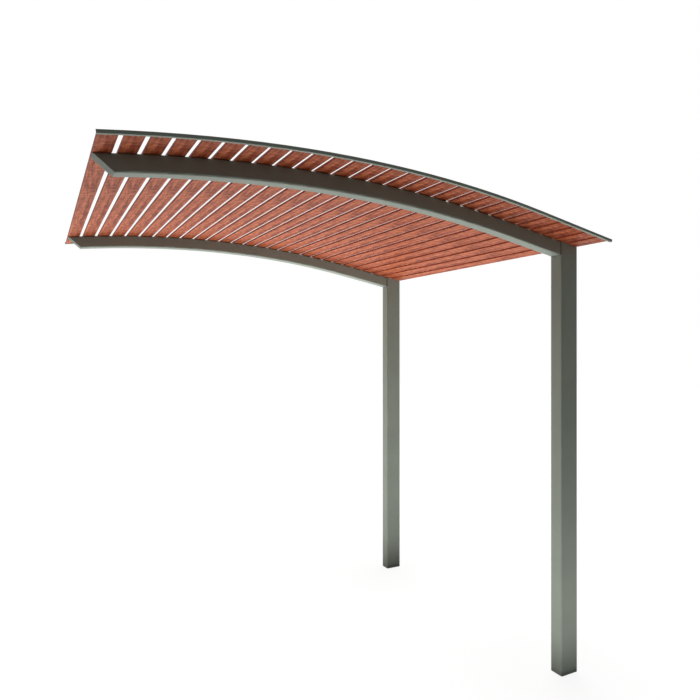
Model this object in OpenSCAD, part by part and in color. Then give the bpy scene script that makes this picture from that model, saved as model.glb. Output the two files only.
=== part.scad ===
// Cantilevered garden pergola: two steel posts carry two rolled box-section beams, which reach
// forward in a shallow arch and hold a deck of wooden slats closed by a steel angle on each side.
// Millimetres. The origin is the centre of the front post's foot, +X runs along the beams towards
// the posts, +Y from the front post to the rear post, +Z up.

/* [Posts] */
// Distance between the posts' centre lines
post_spacing = 2270; // [1200:10:3600]
// Post section along the beams
post_x = 150; // [100:5:240]
// Post section across the beams
post_y = 100; // [80:5:180]
// Wall of the post tube
post_wall = 5; // [3:0.5:8]
// Outer corner radius of the post tube
post_radius = 10; // [9:0.5:20]
// Thickness of the plate that closes the foot
foot_plate = 8; // [5:1:15]
// Gap round the foot plate, which the weld fills
foot_fit = 0.3; // [0.1:0.1:1]
// Thickness of the sloping plate on the post's head
head_plate = 4; // [3:0.5:8]

/* [Beams] */
// Width of the beam tube
beam_w = 90; // [60:5:120]
// Height of the beam tube
beam_h = 90; // [60:5:140]
// Wall of the beam tube
beam_wall = 4; // [3:0.5:6]
// Outer corner radius of the beam tube
beam_radius = 8; // [7:0.5:12]
// Angle of the cut at the free end, from square
end_cut = 43; // [0:1:55]
// Thickness of the plate that closes the free end
end_plate = 4; // [3:0.5:8]
// How far the beam's top stays behind the first slat's edge
beam_inset = 2; // [0:1:60]

/* [Roof line] */
// Height of the beam's top face above ground, at the posts' centre line
roof_height = 2930; // [2100:1:3600]
// Fall of the straight run over the posts, in degrees
fall = 10.9; // [4:0.1:16]
// Level distance from the posts' centre line to the start of the bend
straight_run = 518; // [260:1:900]
// Radius of the bend, to the beam's top face
bend_radius = 7740; // [5000:10:12000]

/* [Deck] */
// Number of slats
slat_count = 28; // [12:1:34]
// Width of a slat
slat_w = 86; // [60:1:110]
// Thickness of a slat
slat_t = 14; // [10:1:28]
// Gap between two slats
slat_gap = 25.3; // [10:0.1:40]
// Radius of a slat's long edges
slat_arris = 1.2; // [0.5:0.1:4]
// How far the last slat stays short of the posts' back face
deck_back = 9; // [0:1:60]
// How far the deck reaches past the posts' outer faces, to the outside of the edge angles
overhang = 270; // [60:5:600]
// Bedding gap between wood and steel
bedding = 0.2; // [0.1:0.1:1]

/* [Edge angles] */
// Thickness of the angle
angle_t = 2; // [1.5:0.5:5]
// Width of the leg under the slat ends, measured from the outer face
angle_leg = 18; // [12:1:50]
// Gap between a slat's end and the upright leg
end_gap = 0.5; // [0.2:0.1:3]
// How far the angle runs past the first slat
angle_front = 5; // [0:1:40]
// How far the angle runs past the last slat
angle_back = 22; // [0:1:60]

/* [Hidden] */
SLATS = [for (i = [1:slat_count]) str("slat_", i < 10 ? "0" : "", i)];

steel = [0.40, 0.43, 0.39];
timber = [0.66, 0.36, 0.27];

corner_fn = 48;       // facets of a full turn at the small corners
bend_fn = 2880;       // facets of a full turn of the bend
reach = 4000;         // longer than any piece it trims
trim = 1;             // how far a piece runs past the cut that ends it
rear_y = post_spacing;
mid_y = post_spacing / 2;
deck_w = post_spacing + post_y + 2 * overhang;
slat_len = deck_w - 2 * (angle_t + end_gap);
slat_pitch = slat_w + slat_gap;

// The bearing line is the beam's top face. It is followed by its length s, which is 0 where the
// bend starts, negative down the straight run and positive round the bend to the free end.
deck_end = -(straight_run + post_x / 2 - deck_back) / cos(fall);
deck_start = deck_end + slat_count * slat_w + (slat_count - 1) * slat_gap;
beam_tip = deck_start - beam_inset;

// Turn of the bend at s, in degrees
function bend_turn(s) = max(s, 0) / bend_radius * 180 / PI;

// Puts children in the roof's own frame: its origin is where the bend starts, +X follows the
// straight run down to the posts, +Z stands square to it
module on_roof() {
    translate([-straight_run, 0, roof_height + straight_run * tan(fall)])
        rotate([0, fall, 0]) children();
}

// Puts children at s on the bearing line, their +X along it towards the posts, +Z square to it
module at_line(s) {
    if (s < 0)
        on_roof() translate([-s, 0, 0]) children();
    else
        on_roof() translate([0, 0, -bend_radius]) rotate([0, -bend_turn(s), 0])
            translate([0, 0, bend_radius]) children();
}

// Rectangle with rounded corners, centred
module rounded(w, h, r) {
    square([w - 2 * r, h], center = true);
    square([w, h - 2 * r], center = true);
    for (x = [-1, 1], y = [-1, 1])
        translate([x * (w / 2 - r), y * (h / 2 - r)]) circle(r = r, $fn = corner_fn);
}

// Sweeps a section along the bearing line from s = s0, on the straight run, to s = s1, on the
// bend. The section's X is the height over the line, its Y points to -Y across the beams.
module sweep(s0, s1) {
    on_roof() {
        rotate([0, 90, 0]) linear_extrude(-s0) rotate(180) children();
        translate([0, 0, -bend_radius]) rotate([90, 0, 0]) rotate(90)
            rotate_extrude(angle = bend_turn(s1), $fn = bend_fn)
                translate([bend_radius, 0]) children();
    }
}

// Everything above the straight run's plane, less depth measured square to it
module above_roof(depth) {
    at_line(deck_end) translate([-reach / 2, -reach / 2, -depth]) cube([reach, reach, reach]);
}

// Everything past the sloping cut at the free end, less depth measured square to it
module past_tip(depth) {
    at_line(beam_tip) rotate([0, -end_cut, 0])
        translate([-reach + depth, -reach / 2, -reach / 2]) cube([reach, reach, reach]);
}

// Plain column of the post's outline, up past the roof
module post_column() {
    linear_extrude(roof_height + post_x) rounded(post_x, post_y, post_radius);
}

module post() {
    color(steel) difference() {
        post_column();
        translate([0, 0, -trim]) linear_extrude(roof_height + post_x + 2 * trim)
            rounded(post_x - 2 * post_wall, post_y - 2 * post_wall, post_radius - post_wall);
        above_roof(head_plate);
    }
}

// Closes the foot inside the tube, flush with the ground
module foot_closing() {
    inset = post_wall + foot_fit;
    color(steel) linear_extrude(foot_plate)
        rounded(post_x - 2 * inset, post_y - 2 * inset, post_radius - inset);
}

// Closes the post's head, on the slope of the roof
module head_closing() {
    color(steel) intersection() {
        difference() {
            post_column();
            above_roof(0);
        }
        above_roof(head_plate);
    }
}

// The beam's outline from inside the post to just past its tip, less an inset on all four sides
module beam_bar(inset = 0) {
    sweep(deck_end, beam_tip + trim)
        translate([-beam_h / 2, 0])
            rounded(beam_h - 2 * inset, beam_w - 2 * inset, beam_radius - inset);
}

// Everything from the post's inner face back
module behind_face() {
    translate([-post_x / 2, -reach / 2, 0]) cube([reach, reach, reach * 2]);
}

module beam() {
    color(steel) difference() {
        beam_bar();
        beam_bar(beam_wall);
        behind_face();
        past_tip(end_plate);
    }
}

// Closes the beam's sloping end, flush with its sides. It is short enough to follow the bend's
// direction at its own middle.
module end_closing() {
    length = 2 * beam_h;
    color(steel) intersection() {
        difference() {
            at_line(beam_tip - beam_h * tan(end_cut) / 2)
                translate([-length, 0, -beam_h / 2]) rotate([0, 90, 0])
                    linear_extrude(2 * length) rounded(beam_h, beam_w, beam_radius);
            past_tip(0);
        }
        past_tip(end_plate);
    }
}

// Angle under and round the slat ends. Its upright leg's outer face is at y = 0, its foot leg
// points to -Y.
module edge_angle() {
    color(steel) sweep(deck_end - angle_back, deck_start + angle_front) union() {
        translate([-angle_t, 0]) square([angle_t, angle_leg]);
        translate([-angle_t, 0]) square([angle_t + bedding + slat_t, angle_t]);
    }
}

// Slat i, counted from the free end, centred across the deck
module slat(i) {
    s = deck_start - slat_w / 2 - (i - 1) * slat_pitch;
    color(timber) at_line(s)
        translate([0, mid_y + slat_len / 2, bedding + slat_t / 2]) rotate([90, 0, 0])
            linear_extrude(slat_len) rounded(slat_w, slat_t, slat_arris);
}

post();  // front_post
translate([0, rear_y, 0]) post();  // rear_post
foot_closing();  // front_foot_plate
translate([0, rear_y, 0]) foot_closing();  // rear_foot_plate
head_closing();  // front_head_plate
translate([0, rear_y, 0]) head_closing();  // rear_head_plate
beam();  // front_beam
translate([0, rear_y, 0]) beam();  // rear_beam
end_closing();  // front_end_plate
translate([0, rear_y, 0]) end_closing();  // rear_end_plate
translate([0, mid_y - deck_w / 2, 0]) mirror([0, 1, 0]) edge_angle();  // front_edge_angle
translate([0, mid_y + deck_w / 2, 0]) edge_angle();  // rear_edge_angle
for (i = [1:slat_count])
    slat(i);
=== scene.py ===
import math

import bmesh
import bpy
from mathutils import Matrix, Vector


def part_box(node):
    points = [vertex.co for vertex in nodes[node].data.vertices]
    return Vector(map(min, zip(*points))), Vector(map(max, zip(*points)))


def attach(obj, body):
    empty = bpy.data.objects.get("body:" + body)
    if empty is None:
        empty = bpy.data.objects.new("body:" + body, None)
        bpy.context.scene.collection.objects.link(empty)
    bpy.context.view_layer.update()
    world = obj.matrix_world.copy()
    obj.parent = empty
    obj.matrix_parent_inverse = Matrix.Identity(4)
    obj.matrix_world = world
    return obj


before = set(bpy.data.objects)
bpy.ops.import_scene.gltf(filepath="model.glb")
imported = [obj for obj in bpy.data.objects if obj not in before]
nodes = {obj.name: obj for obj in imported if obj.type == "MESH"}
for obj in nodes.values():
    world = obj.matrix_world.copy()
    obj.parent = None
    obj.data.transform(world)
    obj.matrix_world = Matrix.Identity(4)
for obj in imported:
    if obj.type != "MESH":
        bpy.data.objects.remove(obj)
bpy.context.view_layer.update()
scene = bpy.context.scene
scene.view_settings.view_transform = "Standard"
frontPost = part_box("front_post")
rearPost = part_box("rear_post")
frontY = (frontPost[0].y + frontPost[1].y) / 2   # the posts' and beams' middles
rearY = (rearPost[0].y + rearPost[1].y) / 2
slatNames = sorted(name for name in nodes if name.startswith("slat_"))
steelNames = sorted(name for name in nodes if name not in slatNames)
noiseLow, noiseHigh = 0.3, 0.7   # noise from 0 to 1 hardly leaves this band
print("frame loaded:", len(steelNames), "steel nodes and", len(slatNames), "slats")


def linear(hexColour):
    channels = [int(hexColour[i:i + 2], 16) / 255 for i in (1, 3, 5)]
    return [c / 12.92 if c <= 0.04045 else ((c + 0.055) / 1.055) ** 2.4 for c in channels] + [1.0]


def addNode(tree, kind, links=(), stops=(), **settings):
    # adds a node: settings are its properties, links give each input a socket or a value
    node = tree.nodes.new("ShaderNode" + kind)
    for key, value in settings.items():
        setattr(node, key, value)
    for socket, source in dict(links).items():
        if isinstance(source, bpy.types.NodeSocket):
            tree.links.new(source, node.inputs[socket])
        else:
            node.inputs[socket].default_value = source
    for i, (position, colour) in enumerate(stops):
        elements = node.color_ramp.elements   # a new ramp has two
        stop = elements[i] if i < 2 else elements.new(position)
        stop.position = position
        stop.color = colour
    return node


def newMaterial(name):
    material = bpy.data.materials.new(name)
    material.use_nodes = True
    material.node_tree.nodes.clear()
    return material, material.node_tree


def newObject(name, data):
    made = bpy.data.objects.new(name, data)
    scene.collection.objects.link(made)
    return made


# Camera: standing height, off the free end's front corner
view = {
    "place": (-3.2255, -2.9817, 2.2077),
    "turn": -27.63,   # degrees
    "tilt": 90.03,
    "lens": 30.86,    # mm
    "sensor": 36.0,
}
camera = newObject("camera", bpy.data.cameras.new("camera"))
camera.data.lens = view["lens"]
camera.data.sensor_width = view["sensor"]
camera.location = view["place"]
camera.rotation_euler = (math.radians(view["tilt"]), 0, math.radians(view["turn"]))
scene.camera = camera


# Studio: a white sweep in a room that is bright behind the object and dim in front of it
room = {
    "brightTowards": (-0.358, 0.934, 0.0),  # the bright side of the room
    "dim": 0.15,
    "bright": 0.8,
    "dimUpTo": -0.5,                        # cosine from the bright side
    "brightFrom": 0.14,
    "floorSize": 60.0,                      # metres
    "floorColour": "#E8E8E8",
    "floorDark": "#303030",                 # what the floor throws back by itself; see bounce
    "floorShade": 0.15,                     # how much of the floor's shading shows at the posts' feet
    "shadeReach": 1.8,                      # metres from a foot to where the floor is plain white
    "floorLift": 0.042,                     # brings the open floor up to white for the camera
}


def shownRays(tree, path):
    # 1 for the rays that show the background: from the camera, in reflections and through glass
    shown = addNode(tree, "Math", {0: path["Is Camera Ray"], 1: path["Is Glossy Ray"]},
                    operation="MAXIMUM").outputs[0]
    return addNode(tree, "Math", {0: shown, 1: path["Is Transmission Ray"]},
                   operation="MAXIMUM").outputs[0]


def makeWorld():
    world = bpy.data.worlds.new("studio")
    world.use_nodes = True
    tree = world.node_tree
    tree.nodes.clear()
    direction = addNode(tree, "TexCoord").outputs["Generated"]
    along = addNode(tree, "VectorMath", {0: direction, 1: room["brightTowards"]},
                    operation="DOT_PRODUCT").outputs["Value"]
    wall = addNode(tree, "MapRange", {
        "Value": along, "From Min": room["dimUpTo"], "From Max": room["brightFrom"],
        "To Min": room["dim"], "To Max": room["bright"],
    }, interpolation_type="SMOOTHSTEP").outputs["Result"]
    shown = shownRays(tree, addNode(tree, "LightPath").outputs)
    level = addNode(tree, "Mix", {0: shown, 2: wall, 3: 1.0}, data_type="FLOAT").outputs[0]
    background = addNode(tree, "Background", {"Color": (1, 1, 1, 1), "Strength": level})
    addNode(tree, "OutputWorld", {"Surface": background.outputs[0]})
    scene.world = world


def makeFloor():
    bm = bmesh.new()
    bmesh.ops.create_grid(bm, x_segments=1, y_segments=1, size=room["floorSize"] / 2)
    mesh = bpy.data.meshes.new("floor")
    bm.to_mesh(mesh)
    bm.free()
    floor = newObject("floor", mesh)
    material, tree = newMaterial("white sweep")
    path = addNode(tree, "LightPath").outputs
    shown = shownRays(tree, path)
    place = addNode(tree, "NewGeometry").outputs["Position"]
    shade = 0.0
    for y in (frontY, rearY):
        away = addNode(tree, "VectorMath", {0: place, 1: (0, y, 0)},
                       operation="DISTANCE").outputs["Value"]
        near = addNode(tree, "MapRange", {
            "Value": away, "From Min": 0.0, "From Max": room["shadeReach"],
            "To Min": room["floorShade"], "To Max": 0.0,
        }, interpolation_type="SMOOTHSTEP").outputs["Result"]
        shade = addNode(tree, "Math", {0: shade, 1: near}, operation="MAXIMUM").outputs[0]
    plain = addNode(tree, "Math", {0: 1.0, 1: shade}, operation="SUBTRACT").outputs[0]
    whiteness = addNode(tree, "Math", {0: shown, 1: plain}, operation="MULTIPLY").outputs[0]
    colour = addNode(tree, "Mix", {
        0: shown, 6: linear(room["floorDark"]), 7: linear(room["floorColour"]),
    }, data_type="RGBA").outputs[2]
    paint = addNode(tree, "BsdfDiffuse", {"Color": colour}).outputs[0]
    level = addNode(tree, "Math", {0: path["Is Camera Ray"], 1: room["floorLift"], 2: 1.0},
                    operation="MULTIPLY_ADD").outputs[0]
    white = addNode(tree, "Emission", {"Strength": level}).outputs[0]
    surface = addNode(tree, "MixShader", {0: whiteness, 1: paint, 2: white}).outputs[0]
    addNode(tree, "OutputMaterial", {"Surface": surface})
    mesh.materials.append(material)


keyLamp = {"place": (1.6, 3.2, 7.5), "aim": (-1.3, 1.13, 2.9), "size": 5.0, "power": 300.0}
bounce = {
    # light thrown up by the floor: full behind and beside the posts, none in front and past the
    # free end, a bright patch under the roof, shade round the posts' feet
    "middle": (3.0, 5.0, 0.004),
    "size": 22.0,
    "level": 2.6,              # radiance
    "sideTurn": 29.5,          # degrees, the way the side edge faces
    "sideEdge": -1.35,         # metres from the origin, that way
    "sideBlur": 0.8,
    "frontEdge": -1.0,
    "frontBlur": 1.0,
    "patchLevel": 3.8,
    "patchPlace": (-0.3, -0.35, 0.0),
    "patchRadius": 1.65,
    "footShade": 0.99,
    "footRadius": 1.8,
}


def makeLamps():
    key = newObject("keyLamp", bpy.data.lights.new("keyLamp", "AREA"))
    key.data.shape = "DISK"
    key.data.size = keyLamp["size"]
    key.data.energy = keyLamp["power"]
    key.location = keyLamp["place"]
    aim = Vector(keyLamp["aim"]) - Vector(keyLamp["place"])
    key.rotation_euler = aim.to_track_quat("-Z", "Y").to_euler()

    pool = newObject("floorBounce", bpy.data.lights.new("floorBounce", "AREA"))
    pool.data.shape = "SQUARE"
    pool.data.size = bounce["size"]
    pool.data.energy = math.pi * bounce["size"] ** 2   # a radiance of 1 before the pattern
    pool.location = bounce["middle"]
    pool.rotation_euler = (math.pi, 0, 0)        # shines up
    pool.visible_camera = False
    pool.visible_glossy = False
    pool.visible_transmission = False
    pool.data.use_nodes = True
    tree = pool.data.node_tree
    tree.nodes.clear()
    place = addNode(tree, "NewGeometry").outputs["Position"]
    turn = math.radians(bounce["sideTurn"])
    level = bounce["level"]
    for way, start, blur in (
            ((math.cos(turn), math.sin(turn), 0), bounce["sideEdge"], bounce["sideBlur"]),
            ((0, 1, 0), bounce["frontEdge"], bounce["frontBlur"])):
        along = addNode(tree, "VectorMath", {0: place, 1: way},
                        operation="DOT_PRODUCT").outputs["Value"]
        inside = addNode(tree, "MapRange", {
            "Value": along, "From Min": start - blur / 2, "From Max": start + blur / 2,
            "To Min": 0.0, "To Max": 1.0,
        }, interpolation_type="SMOOTHSTEP").outputs["Result"]
        level = addNode(tree, "Math", {0: level, 1: inside}, operation="MULTIPLY").outputs[0]
    away = addNode(tree, "VectorMath", {0: place, 1: bounce["patchPlace"]},
                   operation="DISTANCE").outputs["Value"]
    patch = addNode(tree, "MapRange", {
        "Value": away, "From Min": 0.0, "From Max": bounce["patchRadius"],
        "To Min": bounce["patchLevel"], "To Max": 0.0,
    }, interpolation_type="SMOOTHSTEP").outputs["Result"]
    level = addNode(tree, "Math", {0: level, 1: patch}, operation="ADD").outputs[0]
    for y in (frontY, rearY):
        away = addNode(tree, "VectorMath", {0: place, 1: (0, y, 0)},
                       operation="DISTANCE").outputs["Value"]
        shade = addNode(tree, "MapRange", {
            "Value": away, "From Min": 0.0, "From Max": bounce["footRadius"],
            "To Min": 1 - bounce["footShade"], "To Max": 1.0,
        }, interpolation_type="SMOOTHSTEP").outputs["Result"]
        level = addNode(tree, "Math", {0: level, 1: shade}, operation="MULTIPLY").outputs[0]
    glow = addNode(tree, "Emission", {"Strength": level})
    addNode(tree, "OutputLight", {"Surface": glow.outputs[0]})


makeWorld()
makeFloor()
makeLamps()
print("studio ready")


# Powder coat on steel: matt polyester, sprayed and baked. Grey-green colour with painted shade,
# darker towards the ground and on the beams next to the posts; a soft broad sheen and a very fine
# orange peel.
coat = {
    "colour": "#91998D",
    "ior": 1.5,
    "roughness": 0.55,
    "gloss": 0.2,          # specular level; a matt coat
    "driftSize": 260.0,    # mm, slow change of shade along a bar
    "drift": 0.05,
    "paintedFootShadeUpTo": 0.35,    # metres; painted shade: the coat darker towards the ground, for the shade at the posts' feet
    "paintedFootShadeLevel": 0.8,
    "jointShadeWidth": 0.006,    # metres; painted shade in the joint of a beam and its post
    "jointShadeBlur": 0.001,
    "jointShadeLevel": 0.2,
    "peelSize": 3.0,       # mm; the real peel is under 1 mm, drawn coarser to show
    "peelDepth": 0.00004,  # metres
}


def makePowderCoat(name, jointShadeAt=None):
    # the last argument is the x of the post's face, for a beam that stops there; the beam is painted
    # darker next to it, as shade in the joint
    material, tree = newMaterial(name)
    place = addNode(tree, "TexCoord").outputs["Object"]
    drift = addNode(tree, "TexNoise", {
        "Vector": place, "Scale": 1000 / coat["driftSize"], "Detail": 3.0})
    dark = [c * (1 - coat["drift"]) for c in linear(coat["colour"])]
    light = [c * (1 + coat["drift"]) for c in linear(coat["colour"])]
    colour = addNode(tree, "ValToRGB", {"Fac": drift.outputs["Fac"]},
                     stops=[(noiseLow, dark), (noiseHigh, light)])
    parts = addNode(tree, "SeparateXYZ", {"Vector": place}).outputs
    # painted shade: darker towards the ground, for the shade at the posts' feet
    shade = addNode(tree, "MapRange", {
        "Value": parts["Z"], "From Min": 0.0, "From Max": coat["paintedFootShadeUpTo"],
        "To Min": coat["paintedFootShadeLevel"], "To Max": 1.0,
    }, interpolation_type="SMOOTHSTEP").outputs["Result"]
    # painted shade: the beam darkened in the last few millimetres before the post's face
    if jointShadeAt is not None:
        start = jointShadeAt - coat["jointShadeWidth"]
        jointShade = addNode(tree, "MapRange", {
            "Value": parts["X"], "From Min": start - coat["jointShadeBlur"], "From Max": start,
            "To Min": 1.0, "To Max": coat["jointShadeLevel"]}).outputs["Result"]
        shade = addNode(tree, "Math", {0: shade, 1: jointShade}, operation="MULTIPLY").outputs[0]
    shaded = addNode(tree, "Mix", {0: 1.0, 6: colour.outputs["Color"], 7: shade},
                     data_type="RGBA", blend_type="MULTIPLY").outputs[2]
    peel = addNode(tree, "TexNoise", {
        "Vector": place, "Scale": 1000 / coat["peelSize"], "Detail": 2.0})
    bump = addNode(tree, "Bump", {
        "Height": peel.outputs["Fac"], "Distance": coat["peelDepth"], "Strength": 1.0})
    surface = addNode(tree, "BsdfPrincipled", {
        "Base Color": shaded, "Roughness": coat["roughness"], "IOR": coat["ior"],
        "Specular IOR Level": coat["gloss"], "Normal": bump.outputs["Normal"]})
    addNode(tree, "OutputMaterial", {"Surface": surface.outputs[0]})
    return material


# Oiled reddish hardwood, planed: short orange and red-brown streaks along the grain, a duller half
# with dark cross figure in patches, fine slanting veins, open pores, and painted shade on the sides
wood = {
    "dark": "#7B3219",
    "middle": "#AA5635",
    "light": "#CD724A",
    "darkAt": 0.05,         # tones at which those three stand
    "middleAt": 0.5,
    "lightAt": 0.9,
    "ior": 1.5,
    "roughness": 0.55,
    "gloss": 0.15,          # specular level; dry oil hardly shines
    "profile": [(0.0, 0.15), (0.13, 0.05), (0.28, 0.02), (0.42, 0.16), (0.55, 0.04), (0.68, -0.07),
                (0.8, -0.06), (0.93, 0.02), (1.0, 0.08)],   # tone across the slat
    # patterns of noise: mm across the slat and along it, shift of the noise, and by how much
    # each one moves the tone
    "wander": {"width": 90.0, "length": 160.0, "detail": 1.0, "shift": 3.1},
    "streak": {"width": 13.0, "length": 170.0, "detail": 2.0, "shift": 1.3, "tone": 0.3},
    "thread": {"width": 4.5, "length": 75.0, "detail": 2.0, "shift": 1.3, "tone": 0.2},
    "ripple": {"width": 60.0, "length": 30.0, "detail": 1.0, "shift": 1.3, "tone": 0.17},
    "line": {"width": 45.0, "length": 11.0, "detail": 1.0, "shift": 1.3, "tone": 0.22},
    "figure": {"width": 30.0, "length": 22.0, "detail": 2.0, "shift": 0.7, "tone": 0.36},
    "vein": {"width": 9.0, "length": 260.0, "detail": 1.0, "shift": 5.3, "tone": 0.22},
    # real pores are 0.3 mm wide, drawn wider to show
    "pore": {"width": 1.6, "length": 45.0, "detail": 2.0, "shift": 0.53},
    "shiftWay": (1.0, 1.7, 1.0),   # direction of the shift
    "wanderBy": 5.0,        # mm, how far the streaks bend
    "figureEvery": 820.0,   # mm from patch to patch of the dark cross figure
    "figureStart": 600.0,   # mm from the front post's centre line
    "figurePeak": 0.7,      # part of the wave from patch to patch at which it is full
    "figureCalm": 0.2,      # share of it left between the patches
    "figureFrom": 0.42,     # noise at which it starts and is full
    "figureFull": 0.62,
    "dullFrom": 0.5,        # where the duller half starts, across the slat
    "dullFull": 0.62,
    "dullRest": 0.25,       # share of the figure in the other half
    "veinSlope": 3.5,       # degrees
    "veinFull": 0.3,        # noise at which a vein is dark, and where it ends
    "veinEnd": 0.4,
    "poreFull": 0.32,       # the same for a pore
    "poreEnd": 0.45,
    "poreShade": 0.75,
    "poreDepth": 0.0003,    # metres
    "poreBump": 0.5,
    "sideShadeTint": "#DEAA88",  # painted shade: the slats' sides, facing the narrow gaps, a little darker and redder
    "sideShadeFrom": 0.0012,     # metres in from the side, where they start and are full
    "sideShadeFull": 0.0002,
}


def slatFrame(name):
    # the middle of a slat, its turn about Y and half its width, from its own corners
    points = [v.co for v in nodes[name].data.vertices]
    low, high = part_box(name)
    middle = (low + high) / 2
    xx = sum((p.x - middle.x) ** 2 for p in points)
    zz = sum((p.z - middle.z) ** 2 for p in points)
    xz = sum((p.x - middle.x) * (p.z - middle.z) for p in points)
    turn = -0.5 * math.atan2(2 * xz, xx - zz)
    across = Vector((math.cos(turn), 0, -math.sin(turn)))
    return middle, turn, max((p - middle).dot(across) for p in points)


def makeHardwood(name, index):
    # matched boards: their figure lies at the same place in each, and only the pores move
    material, tree = newMaterial("oiled hardwood " + name[-2:])
    middle, turn, half = slatFrame(name)
    place = addNode(tree, "TexCoord").outputs["Object"]
    local = addNode(tree, "Mapping", {
        "Vector": place, "Location": (middle.x, 0, middle.z), "Rotation": (0, turn, 0),
    }, vector_type="TEXTURE").outputs["Vector"]

    def grain(pattern, vector, shifts=1):
        # noise stretched along the slat, in real millimetres, and moved by its shift so many times
        across, along = 1000 / pattern["width"], 1000 / pattern["length"]
        stretched = addNode(tree, "Mapping", {
            "Vector": vector, "Scale": (across, along, across),
            "Location": [shifts * pattern["shift"] * way for way in wood["shiftWay"]]})
        return addNode(tree, "TexNoise", {
            "Vector": stretched.outputs["Vector"], "Scale": 1.0, "Detail": pattern["detail"],
        }).outputs["Fac"]

    # bend the streaks sideways
    wanderBy = wood["wanderBy"] / 1000
    sideways = addNode(tree, "MapRange", {
        "Value": grain(wood["wander"], local), "From Min": noiseLow, "From Max": noiseHigh,
        "To Min": -wanderBy, "To Max": wanderBy}).outputs["Result"]
    sideways = addNode(tree, "CombineXYZ", {"X": sideways}).outputs["Vector"]
    bent = addNode(tree, "VectorMath", {0: local, 1: sideways}, operation="ADD").outputs["Vector"]
    straight = addNode(tree, "SeparateXYZ", {"Vector": local}).outputs
    parts = addNode(tree, "SeparateXYZ", {"Vector": bent}).outputs

    # tone: the profile across the slat, then streaks, ripples and lines
    across = addNode(tree, "MapRange", {
        "Value": parts["X"], "From Min": -half, "From Max": half,
        "To Min": 0.0, "To Max": 1.0}).outputs["Result"]
    tone = addNode(tree, "ValToRGB", {"Fac": across}, stops=[
        (p, [wood["middleAt"] + v] * 3 + [1.0]) for p, v in wood["profile"]]).outputs["Color"]
    for pattern in (wood["streak"], wood["thread"], wood["ripple"], wood["line"]):
        streaks = addNode(tree, "MapRange", {
            "Value": grain(pattern, bent), "From Min": noiseLow, "From Max": noiseHigh,
            "To Min": -pattern["tone"], "To Max": pattern["tone"]}).outputs["Result"]
        tone = addNode(tree, "Math", {0: tone, 1: streaks}, operation="ADD").outputs[0]

    # patches of cross figure, mostly in the duller half
    turns = addNode(tree, "Math", {0: parts["Y"], 1: -wood["figureStart"] / 1000},
                    operation="ADD").outputs[0]
    turns = addNode(tree, "Math", {0: turns, 1: 2 * math.pi / (wood["figureEvery"] / 1000)},
                    operation="MULTIPLY").outputs[0]
    patch = addNode(tree, "Math", {0: turns}, operation="COSINE").outputs[0]
    patch = addNode(tree, "MapRange", {
        "Value": patch, "From Min": 0.0, "From Max": wood["figurePeak"],
        "To Min": wood["figureCalm"], "To Max": 1.0}).outputs["Result"]
    dull = addNode(tree, "MapRange", {
        "Value": across, "From Min": wood["dullFrom"], "From Max": wood["dullFull"],
        "To Min": wood["dullRest"], "To Max": 1.0}).outputs["Result"]
    patch = addNode(tree, "Math", {0: patch, 1: dull}, operation="MULTIPLY").outputs[0]
    figure = addNode(tree, "MapRange", {
        "Value": grain(wood["figure"], local), "From Min": wood["figureFrom"],
        "From Max": wood["figureFull"], "To Min": 0.0, "To Max": wood["figure"]["tone"],
    }).outputs["Result"]
    figure = addNode(tree, "Math", {0: figure, 1: patch}, operation="MULTIPLY").outputs[0]
    tone = addNode(tree, "Math", {0: tone, 1: figure}, operation="SUBTRACT").outputs[0]

    # slanting veins
    slanted = addNode(tree, "Mapping", {
        "Vector": bent, "Rotation": (0, 0, math.radians(wood["veinSlope"]))}).outputs["Vector"]
    veins = addNode(tree, "MapRange", {
        "Value": grain(wood["vein"], slanted), "From Min": wood["veinFull"],
        "From Max": wood["veinEnd"], "To Min": wood["vein"]["tone"], "To Max": 0.0,
    }).outputs["Result"]
    tone = addNode(tree, "Math", {0: tone, 1: veins}, operation="SUBTRACT").outputs[0]
    colour = addNode(tree, "ValToRGB", {"Fac": tone}, stops=[
        (wood[key + "At"], linear(wood[key])) for key in ("dark", "middle", "light")])

    # painted shade on the slats' sides, then pores
    side = addNode(tree, "Math", {0: straight["X"]}, operation="ABSOLUTE").outputs[0]
    sideShade = addNode(tree, "MapRange", {
        "Value": side, "From Min": half - wood["sideShadeFrom"], "From Max": half - wood["sideShadeFull"],
        "To Min": 0.0, "To Max": 1.0}).outputs["Result"]
    shaded = addNode(tree, "Mix", {
        0: sideShade, 6: colour.outputs["Color"], 7: linear(wood["sideShadeTint"]),
    }, data_type="RGBA", blend_type="MULTIPLY").outputs[2]
    pores = addNode(tree, "MapRange", {
        "Value": grain(wood["pore"], bent, index), "From Min": wood["poreFull"],
        "From Max": wood["poreEnd"], "To Min": wood["poreShade"], "To Max": 1.0,
    }).outputs["Result"]
    shaded = addNode(tree, "Mix", {0: 1.0, 6: shaded, 7: pores},
                     data_type="RGBA", blend_type="MULTIPLY").outputs[2]
    bump = addNode(tree, "Bump", {
        "Height": pores, "Distance": wood["poreDepth"], "Strength": wood["poreBump"]})
    surface = addNode(tree, "BsdfPrincipled", {
        "Base Color": shaded, "Roughness": wood["roughness"], "IOR": wood["ior"],
        "Specular IOR Level": wood["gloss"], "Normal": bump.outputs["Normal"]})
    addNode(tree, "OutputMaterial", {"Surface": surface.outputs[0]})
    return material


def finishNode(name, material):
    for slot in nodes[name].material_slots:
        slot.material = material
    if not nodes[name].material_slots:
        nodes[name].data.materials.append(material)


powderCoat = makePowderCoat("powder coated steel")
# the beams carry the painted shade in their joints with the posts
jointShadedCoat = makePowderCoat("powder coated beam with painted joint shade", frontPost[0].x)
for name in steelNames:
    finishNode(name, jointShadedCoat if name.endswith("_beam") else powderCoat)
for index, name in enumerate(slatNames):
    finishNode(name, makeHardwood(name, index))
print("finishes on")


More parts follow.
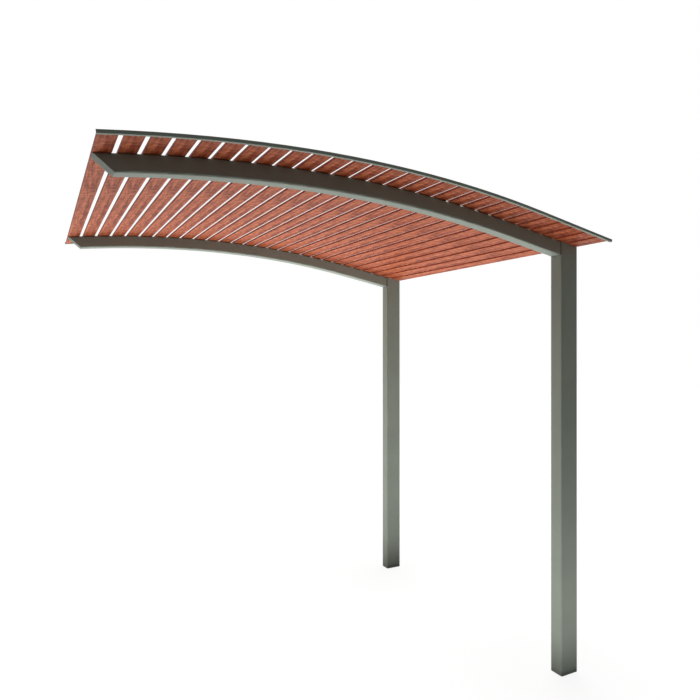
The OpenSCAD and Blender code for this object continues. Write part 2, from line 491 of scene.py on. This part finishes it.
# Screws: colour-coated low domed heads with a recess, on top of the slats. Each slat has two over
# each beam and one near each end, down into the edge angle
screws = {
    # half section in mm, from the bottom of the recess to under the head
    "section": [(0.0, 1.3), (2.1, 1.3), (2.5, 2.6), (4.6, 2.1), (6.0, 0.4), (6.0, -0.4), (0.0, -0.4)],
    "steps": 12,
    "spread": 22.0,      # mm either side of the slat's middle, over a beam
    "fromEnd": 9.0,      # mm from the slat's end
    "turnStep": 0.7,     # radians from screw to screw, so that no two recesses line up
    "turnSlat": 9.0,     # radians for each metre along the beam
    "mergeWithin": 0.00001,   # metres
}


def makeHeadMesh():
    bm = bmesh.new()
    ring = [bm.verts.new((radius / 1000, 0, height / 1000)) for radius, height in screws["section"]]
    edges = [bm.edges.new(pair) for pair in zip(ring, ring[1:])]
    bmesh.ops.spin(bm, geom=ring + edges, axis=(0, 0, 1), cent=(0, 0, 0), steps=screws["steps"],
                   angle=2 * math.pi, use_merge=True)
    bmesh.ops.remove_doubles(bm, verts=bm.verts, dist=screws["mergeWithin"])
    bmesh.ops.recalc_face_normals(bm, faces=bm.faces)
    head = bpy.data.meshes.new("screwHead")
    bm.to_mesh(head)
    bm.free()
    return head


def makeScrews(name, beamY, endSide):
    head = makeHeadMesh()
    spread = screws["spread"] / 1000
    fromEnd = screws["fromEnd"] / 1000
    bm = bmesh.new()
    for slat in slatNames:
        middle, turn = slatFrame(slat)[:2]
        low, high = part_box(slat)
        endY = low.y + fromEnd if endSide < 0 else high.y - fromEnd
        toSlat = Matrix.Translation((middle.x, 0, middle.z)) @ Matrix.Rotation(turn, 4, "Y")
        up = toSlat.to_3x3() @ Vector((0, 0, 1))
        top = max((v.co - middle).dot(up) for v in nodes[slat].data.vertices)
        for i, (x, y) in enumerate(((-spread, beamY), (spread, beamY), (0, endY))):
            recessTurn = i * screws["turnStep"] + middle.x * screws["turnSlat"]
            seat = toSlat @ Matrix.Translation((x, y, top)) @ Matrix.Rotation(recessTurn, 4, "Z")
            first = len(bm.verts)
            bm.from_mesh(head)
            bm.verts.ensure_lookup_table()
            bmesh.ops.transform(bm, matrix=seat, verts=bm.verts[first:])
    bpy.data.meshes.remove(head)
    mesh = bpy.data.meshes.new(name)
    bm.to_mesh(mesh)
    bm.free()
    mesh.materials.append(powderCoat)
    piece = newObject(name, mesh)
    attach(piece, "root")


makeScrews("front_screws", frontY, -1)
makeScrews("rear_screws", rearY, 1)
print("screws in")
